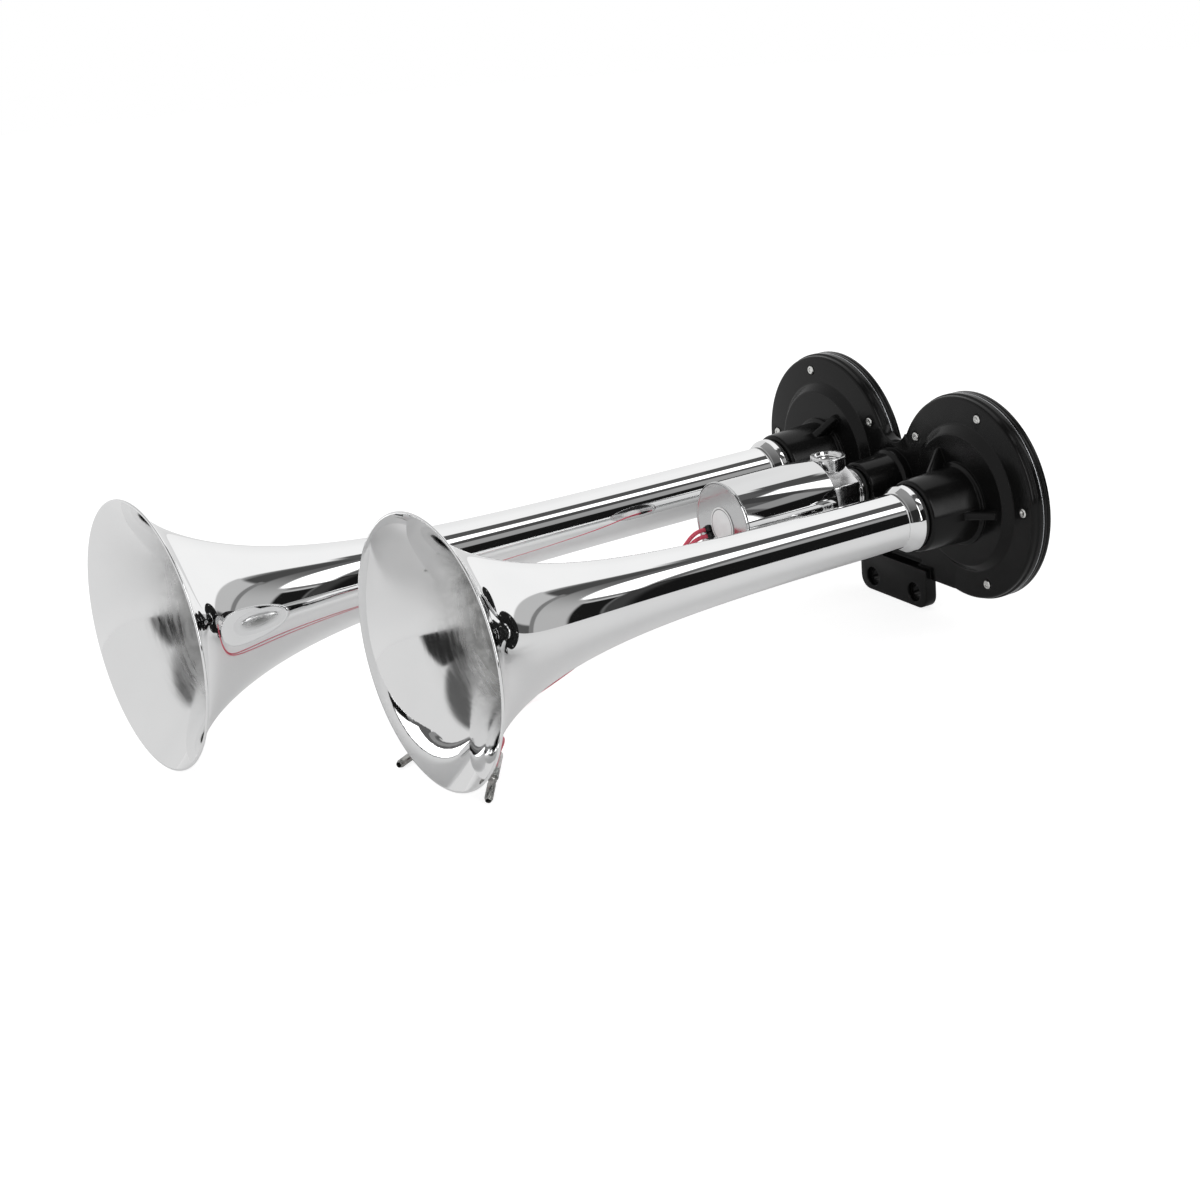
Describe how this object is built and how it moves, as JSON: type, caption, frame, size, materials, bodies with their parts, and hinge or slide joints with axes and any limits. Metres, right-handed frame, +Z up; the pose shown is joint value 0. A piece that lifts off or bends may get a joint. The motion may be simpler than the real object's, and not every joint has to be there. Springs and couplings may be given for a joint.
{
  "type": "dual trumpet air horn",
  "caption": "Two chromed trumpets of unequal length on a black twin diaphragm housing, blown through a solenoid valve with two short leads.",
  "frame": {"origin": "middle of the box round the horn without its free leads, on the floor that the two bells and the foot stand on", "axes": "+Z up, +Y from the bells towards the diaphragm housing, +X from the long trumpet to the short one"},
  "size_m": [0.245, 0.4138, 0.131],
  "materials": {
    "chrome": "bright chromium plate, mirror smooth outside and satin inside the bells",
    "black_plastic": "black moulded plastic, satin with a fine grain",
    "rubber": "black rubber",
    "steel": "plain ground steel",
    "nickel": "nickel plate, slightly dull",
    "brass": "drawn brass",
    "copper_wire": "enamelled copper wire, close wound",
    "nylon": "natural nylon",
    "white_label": "bare white vinyl sticker",
    "red_vinyl": "red vinyl wire insulation",
    "clear_vinyl": "clear soft vinyl sleeve"
  },
  "bodies": {
    "horn": {"horn_housing": "black_plastic", "rear_cover_left": "black_plastic", "rear_cover_right": "black_plastic", "diaphragm_gasket_left": "rubber", "diaphragm_gasket_right": "rubber", "socket_seal_short": "rubber", "socket_seal_long": "rubber", "inlet_washer": "rubber", "lead_grommet": "rubber", "diaphragm_left": "steel", "diaphragm_right": "steel", "fixed_core": "steel", "return_spring": "steel", "cover_screw_left_1": "nickel", "cover_screw_left_2": "nickel", "cover_screw_left_3": "nickel", "cover_screw_left_4": "nickel", "cover_screw_left_5": "nickel", "cover_screw_right_1": "nickel", "cover_screw_right_2": "nickel", "cover_screw_right_3": "nickel", "cover_screw_right_4": "nickel", "cover_screw_right_5": "nickel", "bullet_terminal_a": "nickel", "bullet_terminal_b": "nickel", "bell_short": "chrome", "tube_short": "chrome", "collar_short": "chrome", "bell_long": "chrome", "tube_long": "chrome", "collar_long": "chrome", "valve_body": "chrome", "solenoid_can": "chrome", "solenoid_end_cap": "chrome", "front_label": "white_label", "coil_bobbin": "nylon", "coil_winding": "copper_wire", "plunger_guide_tube": "brass", "lead_a": "red_vinyl", "lead_b": "red_vinyl", "clear_sleeve_a": "clear_vinyl", "clear_sleeve_b": "clear_vinyl"},
    "plunger": {"plunger": "steel", "plunger_seal": "rubber"}
  },
  "joints": [
    {"name": "plunger_slide", "type": "slide", "parent": "horn", "child": "plunger", "axis": [0, -1, 0], "range_m": [0, 0.0022], "stiffness_N_per_m": 300, "springref_m": -0.003, "deforming": ["return_spring"]}
  ]
}
